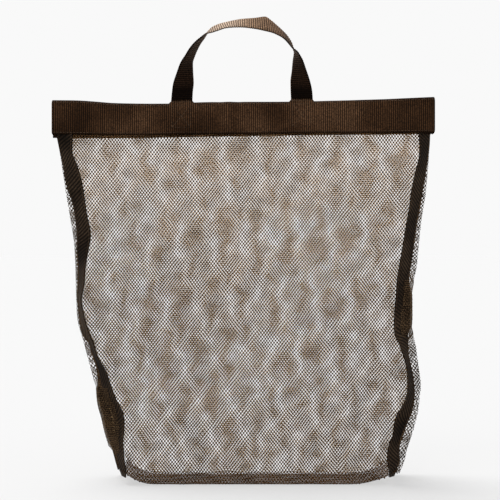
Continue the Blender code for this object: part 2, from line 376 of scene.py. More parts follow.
def half_depth(z):
    """How far a long wall stands from the middle plane, rounded in at the base."""
    z = np.asarray(z, float)
    straight = BASE_HALF_DEPTH + (RIM_HALF_DEPTH - BASE_HALF_DEPTH) * z / RIM_TOP
    below = np.clip(1 - z / BASE_ROUNDING, 0, 1)
    return straight - BASE_ROUNDING * (1 - np.sqrt(1 - below ** 2))


def end_lift(x):
    """How far the base rises at its two ends."""
    start = np.where(np.asarray(x) < 0, END_LIFT_START["left"], END_LIFT_START["right"])
    past = np.clip((np.abs(x) - start) / (BASE_HALF_WIDTH - start), 0, END_LIFT_MOST)
    return END_LIFT * past ** END_LIFT_POWER


def heights_of(stations, depth_sign):
    """Rows to heights and columns to x, for stations on a long wall or, with 0, on the middle plane."""
    rows, *columns = np.array(stations, float).T
    _, z = seen(0, rows, depth_sign * BASE_HALF_DEPTH)
    depth = depth_sign * half_depth(np.maximum(z, 0))
    _, z = seen(0, rows, depth)
    order = np.argsort(z)
    return z[order], [seen(column, rows, depth)[0][order] for column in columns]


OUTLINES = {side: heights_of(stations, 0) for side, stations in SIDE_OUTLINES.items()}
TAPES = {key: heights_of(stations, FACES[key[0]]) for key, stations in TAPE_OUTLINES.items()}


def tape_edges(face, side, z):
    """The x of a seam tape's outer and inner edge."""
    knots, (outer, inner) = TAPES[face, side]
    return smooth(z, knots, outer), smooth(z, knots, inner)


def slack(x, z):
    """How far the net of a long wall hangs out of its plane: soft folds and a few sharper creases."""
    free = np.clip(z / FOLDS_RISE, 0, 1) * np.clip((FOLDS_TOP - z) / FOLDS_FADE, 0, 1)
    folds = sum(size * np.sin(x * per_x + z * per_z + start) for size, per_x, per_z, start in FOLDS)
    creases = 0
    for (x0, z0), (x1, z1), width, depth in CREASES:
        along = np.array([x1 - x0, z1 - z0])
        t = np.clip(((x - x0) * along[0] + (z - z0) * along[1]) / (along @ along), 0, 1)
        off = np.hypot(x - x0 - t * along[0], z - z0 - t * along[1])
        creases = creases + depth * np.exp(-(off / width) ** 2) * np.sin(np.pi * np.clip(t, 0.02, 0.98))
    return free * folds + creases


def pulled(u, v, start, pull=1.0):
    """Places on a net after its knit is pulled a little out of its even grid."""
    u, v = np.broadcast_arrays(np.asarray(u, float), np.asarray(v, float))
    across, up = np.zeros_like(u), np.zeros_like(v)
    for k, (size, per_u, per_v, phase) in enumerate(PULLS):
        turn = 2 * np.pi * (u * per_u + v * per_v) + phase + start * (k + 1)
        across = across + pull * size * np.sin(turn)
        up = up + pull * size * np.cos(turn * PULL_SKEW + start)
    return u + across, v + up


def rim_wave(face, x):
    """How far the rim of a long wall waves out of its plane."""
    if face == "back":
        return BACK_WAVES * rim_wave("front", sum(RIM_ENDS) - x)
    return sum(size * bump_at(x, middle, width) for middle, width, size in RIM_WAVES)


def wall_depth(face, x, z):
    """How far the net of a long wall stands from the middle plane. Near the rim it waves with the rim."""
    held = np.clip((z - RIM_GRIP[0]) / (RIM_GRIP[1] - RIM_GRIP[0]), 0, 1)
    return half_depth(z) + slack(x * -FACES[face], z) + rim_wave(face, x) * held


def wall_points(face, x, z):
    """Points of a long wall. Past a seam tape's inner edge they follow the tape round the corner."""
    x, z = np.broadcast_arrays(np.asarray(x, float), np.asarray(z, float))
    found = np.stack([x, FACES[face] * wall_depth(face, x, z), z], -1)
    for side in SIDES:
        corner, across = tape_frame(face, side, z)
        past = (x - corner[..., 0]) * SIDES[side]
        turned = corner + across * past[..., None]
        found = np.where((past > 0)[..., None], turned, found)
    return found


def tape_frame(face, side, z):
    """A seam tape's inner edge, and the direction from there to its outer edge."""
    outer, inner = tape_edges(face, side, z)
    sign = FACES[face]
    y = sign * wall_depth(face, inner, z)
    most = TAPE_WIDTH * TAPE_ACROSS_SHARE
    run = np.clip(outer - inner, -most, most)
    back = np.minimum(np.sqrt(TAPE_WIDTH ** 2 - run ** 2), np.abs(y) * TAPE_BACK_SHARE)
    across = unit(np.stack([run, -sign * back, np.zeros_like(run)], -1))
    return np.stack([inner, y, z], -1), across


def tape_out(face, side, across):
    """The outward directions of a seam tape."""
    out = unit(np.cross(across, [0.0, 0.0, 1.0]))
    return out * np.sign((out[:, :2] * [SIDES[side], FACES[face]]).sum(1, keepdims=True))


def gusset_half(face, side, z, s):
    """Points of a gusset from its middle line to under its seam tape, with s measured along the net."""
    z, s = np.broadcast_arrays(np.asarray(z, float), np.asarray(s, float))
    path, run = gusset_paths(face, side)
    level = np.clip(z / NET_TOP, 0, 1) * (GUSSET_LEVELS - 1)
    low = np.minimum(level.astype(int), GUSSET_LEVELS - 2)
    share = (level - low)[..., None]
    found = []
    for k in (low, low + 1):
        step = np.clip((run[k] <= s[..., None]).sum(-1) - 1, 0, run.shape[1] - 2)
        start, end = run[k, step], run[k, step + 1]
        part = ((s - start) / np.maximum(end - start, 1e-9))[..., None]
        found.append(path[k, step] * (1 - part) + path[k, step + 1] * part)
    reach = run[low, -1] * (1 - share[..., 0]) + run[low + 1, -1] * share[..., 0]
    return found[0] * (1 - share) + found[1] * share, reach


@functools.cache
def gusset_paths(face, side):
    """A gusset's half at even heights: points from its middle line to its tape, and how far along each is.

    The net folds out past the tape, as far as the bag's outline in the picture, and back in behind it.
    Between the heights of OVER_TAPE it bulges instead, and lies over the tape."""
    levels = np.linspace(0, NET_TOP, GUSSET_LEVELS)
    sign, toward = FACES[face], SIDES[side]
    corner, across = tape_frame(face, side, levels)
    outer = corner + across * TAPE_WIDTH
    out = tape_out(face, side, across)
    low, high = OVER_TAPE[side]
    over = np.clip(np.minimum(levels - low, high - levels) / OVER_TAPE_FADE + 0.5, 0, 1)[:, None]

    x, y = outer[:, 0], outer[:, 1]
    tip = outline_at(side, levels, -np.abs(y) + FOLD_FAR)
    gap = np.maximum((tip - x) * toward, FOLD_LEAST)
    if face == "back":
        gap = FOLD_LEAST + (gap - FOLD_LEAST) * BACK_FOLD
    inset = toward * FOLD_INSET * np.clip((NET_TOP - levels) / FOLD_CLOSE, FOLD_INSET_LEAST, 1)
    near, way = tape_frame("front", side, levels)
    near = near + way * TAPE_WIDTH
    slope = (near[:, 0] - CAMERA[0]) / (near[:, 1] - CAMERA[1])
    inner = (0 * y, y / 2, y - sign * FOLD_RETURN)
    folded = [(CAMERA[0] + slope * (at - CAMERA[1]) - inset, at) for at in inner]
    folded += [(x + toward * gap, y - sign * far) for far in (FOLD_FAR, FOLD_NEAR)]
    bulged = []
    for share, less in BULGE:
        wide = np.maximum((outline_at(side, levels, -np.abs(y) * share) - x) * toward, FOLD_LEAST)
        bulged.append((x + toward * wide * (1 - less), y * share))
    folded, bulged = ([np.stack([*p, levels], -1) for p in points] for points in (folded, bulged))

    outer = outer + out * over * OVER_TAPE_RISE
    path = np.stack([f * (1 - over) + b * over for f, b in zip(folded, bulged)] + [outer], 1)
    under = outer - across * (UNDER_TAPE + (OVER_TAPE_REACH - UNDER_TAPE) * over)
    path = np.concatenate([rounded(path, 3), under[:, None]], 1)
    steps = np.linalg.norm(np.diff(path, axis=1), axis=2)
    return path, np.concatenate([np.zeros((len(levels), 1)), np.cumsum(steps, 1)], 1)


def outline_at(side, z, depth):
    """The x at which a side of the bag's outline in the picture lies, for heights at a depth."""
    nearer = (depth - CAMERA[1]) / -CAMERA[1]
    knots, (edge,) = OUTLINES[side]
    return CAMERA[0] + (smooth(CAMERA[2] + (z - CAMERA[2]) / nearer, knots, edge) - CAMERA[0]) * nearer


def rounded(paths, times):
    """Paths whose corners are cut off again and again, until they are round."""
    for _ in range(times):
        low, high = paths[:, :-1], paths[:, 1:]
        cut = np.stack([low * 0.75 + high * 0.25, low * 0.25 + high * 0.75], 2)
        paths = np.concatenate([paths[:, :1], cut.reshape(len(paths), -1, 3), paths[:, -1:]], 1)
    return paths


def base_points(x, y):
    """The base net, a shallow dish that the bag stands on."""
    past = np.clip((np.abs(y) - (BASE_HALF_DEPTH - BASE_ROUNDING)) / BASE_ROUNDING, 0, 1)
    edge = BASE_ROUNDING * (1 - np.sqrt(1 - past ** 2)) * BASE_EDGE_SHARE
    return np.stack([x, y, LOWEST_NET + edge + end_lift(x)], -1)


# Meshes

def add_piece(name, vertices, faces, look, body=None, numbers=None):
    """A mesh piece from arrays, with its material, its vertices' numbers, and the body that it rides on."""
    mesh = bpy.data.meshes.new(name)
    vertices = np.asarray(vertices, np.float32)
    faces = np.asarray(faces, np.int32)
    mesh.vertices.add(len(vertices))
    mesh.vertices.foreach_set("co", vertices.ravel())
    mesh.loops.add(faces.size)
    mesh.loops.foreach_set("vertex_index", faces.ravel())
    mesh.polygons.add(len(faces))
    mesh.polygons.foreach_set("loop_start", np.arange(0, faces.size, faces.shape[1], dtype=np.int32))
    mesh.polygons.foreach_set("use_smooth", np.ones(len(faces), bool))
    mesh.update(calc_edges=True)
    mesh.validate()
    for label, values in (numbers or {}).items():
        attribute = mesh.attributes.new(label, "FLOAT", "POINT")
        attribute.data.foreach_set("value", np.asarray(values, np.float32))
    mesh.materials.append(look)
    piece = bpy.data.objects.new(name, mesh)
    bpy.context.scene.collection.objects.link(piece)
    if body:
        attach(piece, body)
    return piece


def lattice(name, panel, place, u_range, v_range, keep, carrier, look, outward, body=None):
    """A net of thread on a surface: place(u, v) gives points, keep(u, v) says where there is net.

    Each thread is a flat three-sided tube that runs on through its crossings, and each crossing has a small
    knot. Outward is 1 or -1, for the side that the threads' ridges are on."""
    radius, knot = THREADS[panel]
    half_u, half_v = DIAMOND_WIDTH / 2, DIAMOND_HEIGHT / 2
    i = np.arange(math.floor(u_range[0] / half_u), math.ceil(u_range[1] / half_u) + 1)
    j = np.arange(math.floor(v_range[0] / half_v), math.ceil(v_range[1] / half_v) + 1)
    ii, jj = np.meshgrid(i, j, indexing="ij")
    u, v = ii * half_u, jj * half_v
    there = ((ii + jj) % 2 == 0) & keep(u, v)
    shift = np.random.default_rng(len(i) * len(j)).normal(0, THREAD_JITTER, (2,) + u.shape)
    u, v = u + shift[0], v + shift[1]
    points = place(u, v)
    nudge = half_u / 2
    along_u = place(u + nudge, v) - place(u - nudge, v)
    along_v = place(u, v + nudge) - place(u, v - nudge)
    out = unit(np.cross(along_u, along_v)) * outward
    along_u, along_v = along_u / half_u, along_v / half_u
    vertices, faces, count = [], [], 0
    for lean in (1, -1):
        run = unit(along_u * half_u * lean + along_v * half_v)
        side = np.cross(out, run)
        ring = np.stack([points + (side * a + out * b) * radius for a, b in THREAD_SECTION], 2)
        number = np.full(u.shape, -1)
        less, more = slice(None, -1), slice(1, None)
        start, end = ((less, less), (more, more)) if lean > 0 else ((more, less), (less, more))
        both = there[start] & there[end]
        used = np.zeros(u.shape, bool)
        used[start] |= both
        used[end] |= both
        number[used] = np.arange(used.sum()) * 3 + count
        vertices.append(ring[used].reshape(-1, 3))
        count += used.sum() * 3
        low, high = number[start][both], number[end][both]
        for k in range(3):
            after = (k + 1) % 3
            faces.append(np.stack([low + k, low + after, high + after, high + k], 1))
    tied = points[there]
    ring = [tied + unit(way[there]) * knot * turn for turn, way in
            ((1, along_u), (1, along_v), (-1, along_u), (-1, along_v))]
    heaps = [tied + out[there] * (radius * THREAD_SECTION[0][1] + KNOT_RISE) * turn for turn in (1, -1)]
    vertices.append(np.stack(ring + heaps, 1).reshape(-1, 3))
    number = np.arange(len(tied)) * 6 + count
    for quad in ((4, 0, 1, 2), (4, 2, 3, 0), (5, 2, 1, 0), (5, 0, 3, 2)):
        faces.append(np.stack([number + k for k in quad], 1))
    turned = np.concatenate([np.tile([0, 1, 1], count // 3), np.tile([1, 1, 1, 1, 0, 1], len(tied))])
    numbers = {"knot": np.repeat([0.0, 1.0], [count, len(tied) * 6]), "inner": turned}
    piece = add_piece(name, np.concatenate(vertices), np.concatenate(faces), look, body, numbers)
    return piece


def strap_section():
    """A strap's cross-section, as shares of its width and thickness: thinner and rounded at its two edges."""
    half = np.array(STRAP_SECTION) / 2
    upper = np.concatenate([half * [-1, 1], half[-2::-1]])
    return np.concatenate([upper, upper[-2:0:-1] * [1, -1]])


def strap(name, centres, wide, out, widths, look, body=None, pitch=RIB_PITCH, thickness=WEBBING_THICKNESS,
          depth=RIB_DEPTH, painted_light=1):
    """A ribbed strap along a path: its centres, directions across and outward, and width at each point.

    Its material reads how far each point is along and across, and the shares of length and half width. The
    share of length, times the last argument, places each point on the strap's table of tone and painted
    light."""
    run = lengths_along(centres)
    section = strap_section()
    rib = np.cos(run / pitch * 2 * np.pi)
    inside = np.clip((0.5 - np.abs(section[:, 0])) / RIB_FADE, 0, 1)
    through = section[None, :, 1] * (1 + depth * 2 * rib[:, None] * inside[None, :]) * thickness
    across = section[None, :, 0] * np.broadcast_to(widths, len(centres))[:, None]
    wide, out = (np.broadcast_to(a, centres.shape)[:, None] for a in (wide, out))
    points = centres[:, None] + wide * across[..., None] + out * through[..., None]
    n, k = len(centres), len(section)
    index = np.arange(n * k).reshape(n, k)
    turned = np.roll(index, -1, axis=1)
    faces = np.stack([index[:-1], turned[:-1], turned[1:], index[1:]], -1).reshape(-1, 4)
    lids = [index[end][[a, a + 1, (k - a - 1) % k, (k - a) % k]]
            for end in (0, -1) for a in range(1, k // 2 - 1)]
    faces = np.concatenate([faces, lids])
    numbers = {"along": np.repeat(run, k), "across": np.broadcast_to(across, (n, k)).ravel(),
               "share": np.repeat(run / run[-1] * painted_light, k), "side": np.tile(np.abs(section[:, 0]) * 2, n)}
    return add_piece(name, points.reshape(-1, 3), faces, look, body, numbers)


def lengths_along(path):
    """How far each point of a path is along it."""
    return np.concatenate([[0], np.cumsum(np.linalg.norm(np.diff(path, axis=0), axis=1))])


def read_at(at, run, path):
    """A path, or its directions, at given places along it."""
    return np.stack([np.interp(at, run, column) for column in path.T], 1)


def resample(path, step, *others):
    """A path and what goes with it, at even steps."""
    run = lengths_along(path)
    at = np.linspace(0, run[-1], max(int(run[-1] / step), 2) + 1)
    return [read_at(at, run, a) for a in (path, *others)]


def stitches(name, rows, look, body=None):
    """Threads along rows of points: each row is a path and its outward directions."""
    sides = STITCH_SIDES
    angles = np.arange(sides) * 2 * np.pi / sides
    up, aside = np.cos(angles)[:, None], np.sin(angles)[:, None]
    vertices, faces, count = [], [], 0
    for path, out in rows:
        run = lengths_along(path)
        at = np.arange(STITCH_PITCH / 2, run[-1] - STITCH_LENGTH / 2, STITCH_PITCH)
        middle = read_at(at, run, path)
        along = unit(read_at(at + STITCH_AHEAD, run, path) - middle)
        normal = read_at(at, run, out)
        normal = unit(normal - along * (normal * along).sum(1, keepdims=True))
        for c, a, o, s in zip(middle, along, normal, np.cross(along, normal)):
            for place, size in STITCH_PROFILE:
                ring = (up * o * STITCH_FLATNESS + aside * s) * STITCH_RADIUS * size
                vertices.append(c + a * place * STITCH_LENGTH + ring)
            for ring in range(len(STITCH_PROFILE) - 1):
                for k in range(sides):
                    low = count + ring * sides
                    after = (k + 1) % sides
                    faces.append((low + k, low + after, low + sides + after, low + sides + k))
            count += len(STITCH_PROFILE) * sides
    return add_piece(name, np.concatenate(vertices), faces, look, body)


# Materials

def new_look(name, colour, gloss, sheen=0.0, sheen_colour=(1, 1, 1)):
    made = bpy.data.materials.new(name)
    made.use_nodes = True
    shader = made.node_tree.nodes["Principled BSDF"]
    fill(made.node_tree, shader, {
        "Base Color": colour, "Roughness": ROUGHNESS, "Specular IOR Level": gloss,
        "Sheen Weight": sheen, "Sheen Roughness": SHEEN_ROUGHNESS, "Sheen Tint": sheen_colour})
    return made, made.node_tree, shader


def fill(tree, made, inputs):
    """Gives a node's inputs numbers, colours or what other nodes put out."""
    for key, value in inputs.items():
        if isinstance(value, (int, float)):
            made.inputs[key].default_value = value
        elif isinstance(value, tuple):
            made.inputs[key].default_value = (*value, 1)
        else:
            tree.links.new(value, made.inputs[key])


def node(tree, kind, inputs=None, **settings):
    made = tree.nodes.new(kind)
    for key, value in settings.items():
        setattr(made, key, value)
    fill(tree, made, inputs or {})
    return made


def number_node(tree, name):
    """The numbers that a mesh has for its points under a name."""
    return node(tree, "ShaderNodeAttribute", attribute_name=name).outputs["Fac"]


def math_node(tree, operation, *values):
    return node(tree, "ShaderNodeMath", dict(enumerate(values)), operation=operation).outputs[0]


def noise_node(tree, vector, scale, detail):
    made = node(tree, "ShaderNodeTexNoise", {"Vector": vector, "Scale": scale, "Detail": detail})
    return made.outputs["Fac"]


def ramp_node(tree, factor, stops):
    made = node(tree, "ShaderNodeValToRGB", {0: factor})
    elements = made.color_ramp.elements
    while len(elements) < len(stops):
        elements.new(0.5)
    for element, (place, colour) in zip(elements, stops):
        element.position = place
        element.color = (*colour, 1)
    return made.outputs[0]


def mix_node(tree, factor, first, second, blend="MIX"):
    inputs = {0: factor, 6: first, 7: second}
    return node(tree, "ShaderNodeMix", inputs, data_type="RGBA", blend_type=blend).outputs[2]


def spread_node(tree, value, from_low, from_high, to_low, to_high):
    inputs = dict(enumerate((value, from_low, from_high, to_low, to_high)))
    return node(tree, "ShaderNodeMapRange", inputs).outputs[0]


def webbing_look(name, dark, mid, light, pitch, slant=0.0, tone_and_painted_light=None, blotch=14.0, gloss=0.05, **sheen):
    """Woven webbing: ribs across it or slanted, fine threads along it, speckles, blotches, darker edges.

    A list of colours along the strap can be given, as (share of its length, colour), that the blotches shade:
    the strap's own tone with painted shade and painted highlights on it."""
    made, tree, shader = new_look(name, mid, gloss, **sheen)
    place = node(tree, "ShaderNodeTexCoord").outputs["Object"]
    across = number_node(tree, "across")
    turn = math_node(tree, "ADD", number_node(tree, "along"), math_node(tree, "MULTIPLY", across, slant))
    rib = math_node(tree, "COSINE", math_node(tree, "MULTIPLY", turn, 2 * math.pi / pitch))
    thread = math_node(tree, "SINE", math_node(tree, "MULTIPLY", across, 2 * math.pi / WARP_PITCH))
    blotches = noise_node(tree, place, blotch, 4.0)
    grain = noise_node(tree, place, WEBBING_GRAIN, 2.0)
    colour = ramp_node(tree, blotches, list(zip(WEBBING_TONES, (dark, mid, light))))
    if tone_and_painted_light:
        # The strap's own tone along it, with painted shade and painted highlights
        painted_light = ramp_node(tree, number_node(tree, "share"), tone_and_painted_light)
        colour = mix_node(tree, 1.0, painted_light, colour, "MULTIPLY")
    for value, limits in ((rib, RIB_SHADE), (grain, GRAIN_SHADE), (number_node(tree, "side"), EDGE_SHADE)):
        colour = mix_node(tree, 1.0, colour, spread_node(tree, value, *limits), "MULTIPLY")
    height = 0.0
    for value, size in zip((rib, thread, grain), BUMPS):
        height = math_node(tree, "ADD", height, math_node(tree, "MULTIPLY", value, size))
    bump = node(tree, "ShaderNodeBump", {
        "Strength": BUMP_STRENGTH, "Distance": BUMP_DISTANCE, "Height": height})
    roughness = spread_node(tree, grain, *GRAIN_ROUGHNESS)
    fill(tree, shader, {"Base Color": colour, "Normal": bump.outputs[0], "Roughness": roughness})
    return made


def thread_look(name, dark, light, patch_scale, grain=0.4, inner=None, painted_shade=None):
    """Twisted thread, its brown lighter in patches and grains, dark in knots, paler on the inner side.

    A painted shade can be given as two heights and a tint: the thread is painted darker by the tint at and
    below the lower height, less so up to the higher one."""
    made, tree, shader = new_look(name, dark, THREAD_GLOSS)
    place = node(tree, "ShaderNodeTexCoord").outputs["Object"]
    patches = noise_node(tree, place, patch_scale, 3.0)
    fine = noise_node(tree, place, THREAD_GRAIN, 1.0)
    both = math_node(tree, "ADD", math_node(tree, "MULTIPLY", patches, 1 - grain),
                     math_node(tree, "MULTIPLY", fine, grain))
    colour = ramp_node(tree, both, list(zip(THREAD_TONES, (dark, light))))
    knots = spread_node(tree, number_node(tree, "knot"), 0, 1, 1, KNOT_SHADE)
    colour = mix_node(tree, 1.0, colour, knots, "MULTIPLY")
    if inner:
        turned = spread_node(tree, number_node(tree, "inner"), INNER_START, 1, 0, 1)
        shade = spread_node(tree, both, *THREAD_TONES, INNER_SHADE, 1)
        colour = mix_node(tree, turned, colour, mix_node(tree, 1.0, inner, shade, "MULTIPLY"))
    # Painted shade: the thread darker towards the bottom
    if painted_shade:
        low, high, tint = painted_shade
        height = node(tree, "ShaderNodeSeparateXYZ", {0: place}).outputs["Z"]
        tint = mix_node(tree, spread_node(tree, height, low, high, 0, 1), tint, (1.0, 1.0, 1.0))
        colour = mix_node(tree, 1.0, colour, tint, "MULTIPLY")
    fill(tree, shader, {"Base Color": colour})
    return made


# The wall net's thread is painted darker towards the bottom of the walls: a painted shade
WALL_NET_LOOK = thread_look("wall_net_thread", (0.13, 0.058, 0.017), (0.43, 0.215, 0.078), 40.0,
                            inner=(1.0, 0.77, 0.52), painted_shade=(0.20, 0.36, (0.57, 0.50, 0.37)))
# The gussets' and the base's net is the same thread painted darker: a painted shade of the dense, folded net
SIDE_NET_PAINTED_SHADE_LOOK = thread_look("side_net_thread", (0.030, 0.015, 0.007), (0.30, 0.185, 0.095), 60.0, grain=0.7)
BASE_NET_PAINTED_SHADE_LOOK = thread_look("base_net_thread", (0.045, 0.018, 0.004), (0.150, 0.066, 0.018), 60.0)
STITCH_LOOK = thread_look("seam_thread", (0.050, 0.030, 0.018), (0.13, 0.085, 0.055), 60.0)
RIM_LOOK = webbing_look("rim_webbing", (0.045, 0.019, 0.007), (0.120, 0.056, 0.025), (0.220, 0.112, 0.056),
                        RIB_PITCH)
# The handle strap: its colours along it hold a painted shade at the feet and a painted highlight on the crown
STRAP_LOOK = webbing_look("handle_strap", (0.55, 0.55, 0.55), (0.78, 0.78, 0.78), (1.0, 1.0, 1.0), RIB_PITCH,
                          tone_and_painted_light=STRAP_TONE_AND_PAINTED_LIGHT, gloss=0.03, sheen=0.35, sheen_colour=(1.0, 0.70, 0.50))
TAPE_LOOK = webbing_look("seam_tape", (0.024, 0.015, 0.009), (0.070, 0.045, 0.028), (0.120, 0.080, 0.050),
                         TAPE_RIB_PITCH, slant=0.7, blotch=22.0)


# Camera, light, floor

def make_stage():
    scene = bpy.context.scene
    camera = bpy.data.cameras.new("camera")
    camera.sensor_width = SENSOR_MM
    camera.lens = SENSOR_MM * FOCAL / PICTURE
    camera.clip_end = CLIP_END
    holder = bpy.data.objects.new("camera", camera)
    holder.location = CAMERA
    holder.rotation_euler = (math.pi / 2, 0, 0)
    scene.collection.objects.link(holder)
    scene.camera = holder
    scene.view_settings.view_transform = "Standard"

    world = bpy.data.worlds.new("studio")
    scene.world = world
    world.use_nodes = True
    tree = world.node_tree
    shown = tree.nodes["Background"]
    fill(tree, shown, {"Color": (BACKDROP,) * 3, "Strength": 1})
    light = node(tree, "ShaderNodeBackground", {"Color": (1, 1, 1), "Strength": AMBIENT})
    mix = node(tree, "ShaderNodeMixShader", {
        0: background_rays(tree), 1: light.outputs[0], 2: shown.outputs[0]})
    fill(tree, tree.nodes["World Output"], {"Surface": mix.outputs[0]})

    for name, ((x, y, z), strength, angle) in SUNS.items():
        sun = bpy.data.lights.new(name, "SUN")
        sun.energy = strength
        sun.angle = math.radians(angle)
        lamp = bpy.data.objects.new(name, sun)
        lamp.rotation_euler = (0, math.atan2(math.hypot(x, y), z), math.atan2(y, x))
        scene.collection.objects.link(lamp)

    look = bpy.data.materials.new("floor")
    look.use_nodes = True
    tree = look.node_tree
    tree.nodes.remove(tree.nodes["Principled BSDF"])
    cloth = node(tree, "ShaderNodeBsdfDiffuse", {"Color": (FLOOR_COLOUR,) * 3})
    strength = math_node(tree, "MULTIPLY", background_rays(tree), FLOOR_GLOW)
    glow = node(tree, "ShaderNodeEmission", {"Strength": strength})
    both = node(tree, "ShaderNodeAddShader", {0: cloth.outputs[0], 1: glow.outputs[0]})
    fill(tree, tree.nodes["Material Output"], {"Surface": both.outputs[0]})
    corners = [(x * FLOOR_REACH, y * FLOOR_REACH, 0) for x, y in ((-1, -1), (1, -1), (1, 1), (-1, 1))]
    floor = add_piece("floor", corners, [(0, 1, 2, 3)], look)


def background_rays(tree):
    """1 for rays that show the background: the camera's, reflections and what is seen through glass."""
    rays = node(tree, "ShaderNodeLightPath").outputs
    either = math_node(tree, "MAXIMUM", rays["Is Camera Ray"], rays["Is Glossy Ray"])
    return math_node(tree, "MAXIMUM", either, rays["Is Transmission Ray"])


# Net panels

def make_walls():
    """The two long walls. Each is two pieces, above and below a level, so that neither has too many faces."""
    split = round(NET_SPLIT / DIAMOND_HEIGHT) * DIAMOND_HEIGHT
    for face, sign in FACES.items():
        wider, taller = WALL_STRETCH[face]

        def place(x, z):
            return wall_points(face, *pulled(x * wider, z * taller, sign, WALL_PULL[face]))

        def inside(x, z):
            x, z = x * wider, z * taller
            left, right = (tape_edges(face, side, z)[1] for side in ("left", "right"))
            return (x > left - UNDER_TAPE) & (x < right + UNDER_TAPE) & (z > end_lift(x) + WALL_FOOT)

        for part, low, high in (("lower", 0, split), ("upper", split, NET_TOP)):
            def keep(x, z):
                return inside(x, z) & (z > low - TINY) & (z < high + TINY)

            piece = lattice(f"{face}_net_{part}", face, place, WALL_REACH, (low, high), keep,
                            f"{face}_rim_band", WALL_NET_LOOK, -sign)
            join_wall(piece)
            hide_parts(f"{face}_net")


def make_gussets():
    """The narrow sides, each in two halves, one toward each long wall."""
    for side in SIDES:
        for face, sign in FACES.items():
            def place(s, z):
                along, z = pulled(sign * s, z, SIDES[side] * 2)
                return gusset_half(face, side, z, sign * along)[0]

            def keep(s, z):
                reach = gusset_half(face, side, z, s)[1]
                return (s > -TINY) & (s < reach) & (z > GUSSET_FOOT) & (z < NET_TOP)

            piece = lattice(f"{side}_gusset_{face}", "gusset", place, GUSSET_REACH, (0, NET_TOP), keep,
                            f"{side}_rim_band", SIDE_NET_PAINTED_SHADE_LOOK, SIDES[side] * sign)
            join_wall(piece)
            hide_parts(f"{side}_gusset")


def join_wall(piece):
    """Bakes a piece's placement into its mesh."""
    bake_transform(piece)


def make_base():
    def keep(x, y):
        return (np.abs(x) < BASE_HALF_WIDTH) & (np.abs(y) < BASE_HALF_DEPTH - BASE_MARGIN)

    def place(x, y):
        return base_points(*pulled(x, y, BASE_PULL_START))

    piece = lattice("base_net_threads", "base", place, *BASE_REACH, keep, "left_gusset", BASE_NET_PAINTED_SHADE_LOOK, -1,
                    "base")
    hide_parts("base_net")


# Tapes, rim and handles

def make_tapes():
    for face, side in TAPES:
        z = np.linspace(GUSSET_FOOT - TAPE_BELOW, RIM_TOP - BAND_WIDTH + TAPE_ABOVE, TAPE_LEVELS)
        corner, across = tape_frame(face, side, z)
        out = tape_out(face, side, across)
        centre = corner + across * TAPE_WIDTH / 2 + out * TAPE_LAYER
        centre, across, out = resample(centre, TAPE_STEP, across, out)
        across, out = square_up(centre, across, out)
        piece = strap(f"{face}_{side}_seam_tape", centre, across, out, TAPE_WIDTH, TAPE_LOOK,
                      pitch=TAPE_RIB_PITCH, thickness=TAPE_THICKNESS, depth=0)
        join_wall(piece)
        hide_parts(f"{face}_{side}_tape")
        clear = centre[:, 2] > END_LIFT
        rows = [((centre + across * edge + out * TAPE_SEAM_RISE)[clear], out[clear])
                for edge in (-TAPE_SEAM, TAPE_SEAM)]
        seams = stitches(f"{face}_{side}_tape_stitches", rows, STITCH_LOOK)
        join_wall(seams)


def square_up(path, across, out):
    """Across and outward directions made square to a path."""
    ahead = unit(np.gradient(path, axis=0))
    across = unit(across - ahead * (across * ahead).sum(1, keepdims=True))
    turned = np.cross(across, ahead)
    turned *= np.sign((turned * out).sum(1, keepdims=True))
    return across, turned


def rim_path(face):
    """A rim's x, the heights of its two edges, its lips over the handle's ends, and its waves outward."""
    x = np.arange(RIM_ENDS[0], RIM_ENDS[1] + RIB_STEP / 2, RIB_STEP)
    columns = PICTURE / 2 + (x - CAMERA[0]) * FOCAL / (-RIM_HALF_DEPTH - CAMERA[1])
    top, foot = (seen(columns, smooth(columns, *zip(*stations)), -RIM_HALF_DEPTH)[1]
                 for stations in (FRONT_RIM_TOP, FRONT_RIM_FOOT))
    lips = sum(np.clip(1 - (np.abs(x - leg) / LIP_HALF_WIDTH) ** LIP_SQUARENESS, 0, 1) for leg in LEGS)
    if face == "back":
        rise = smooth(x, *zip(*BACK_RIM_RISE))
        top, foot = top - BACK_RIM_DROP + rise * BACK_RIM_SHARE, foot + rise
    return x, top, foot, lips, rim_wave(face, x)


def make_rims():
    for face, sign in FACES.items():
        x, top, foot, lips, wave = rim_path(face)
        for layer, offset in RIM_LAYERS.items():
            upper, lower, outward = top, foot, RIM_HALF_DEPTH + offset + wave
            if layer == "band":
                upper = top + lips * LIP_RISE[face]
                outward = outward + lips * LIP_PUSH
            else:
                # Below the front band the facing shows as a dark strip: a painted shadow under the band
                lower = foot - np.interp(x, RIM_ENDS, FACING_DROP[face])
            width = upper - lower
            centre = np.stack([x, sign * outward, (upper + lower) / 2], 1)
            tilt = np.full_like(x, (BASE_HALF_DEPTH - RIM_HALF_DEPTH) / RIM_TOP)
            wide = unit(np.stack([np.zeros_like(x), -sign * tilt, np.ones_like(x)], 1))
            out = unit(np.stack([-np.gradient(wave, x), np.ones_like(x), tilt], 1)) * [1, sign, 1]
            name = f"{face}_rim_{layer}"
            piece = strap(f"{name}_webbing", centre, wide, out, width, RIM_LOOK, f"{face}_wall")
            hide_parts(name)
            if layer == "band":
                rows = [(centre + wide * (width * share)[:, None] + out * RIM_SEAM_RISE, out)
                        for share in (-RIM_SEAM_SHARE, RIM_SEAM_SHARE)]
                rows += leg_boxes(centre, wide, out, x, width)
                seams = stitches(f"{name}_stitches", rows, STITCH_LOOK, f"{face}_wall")


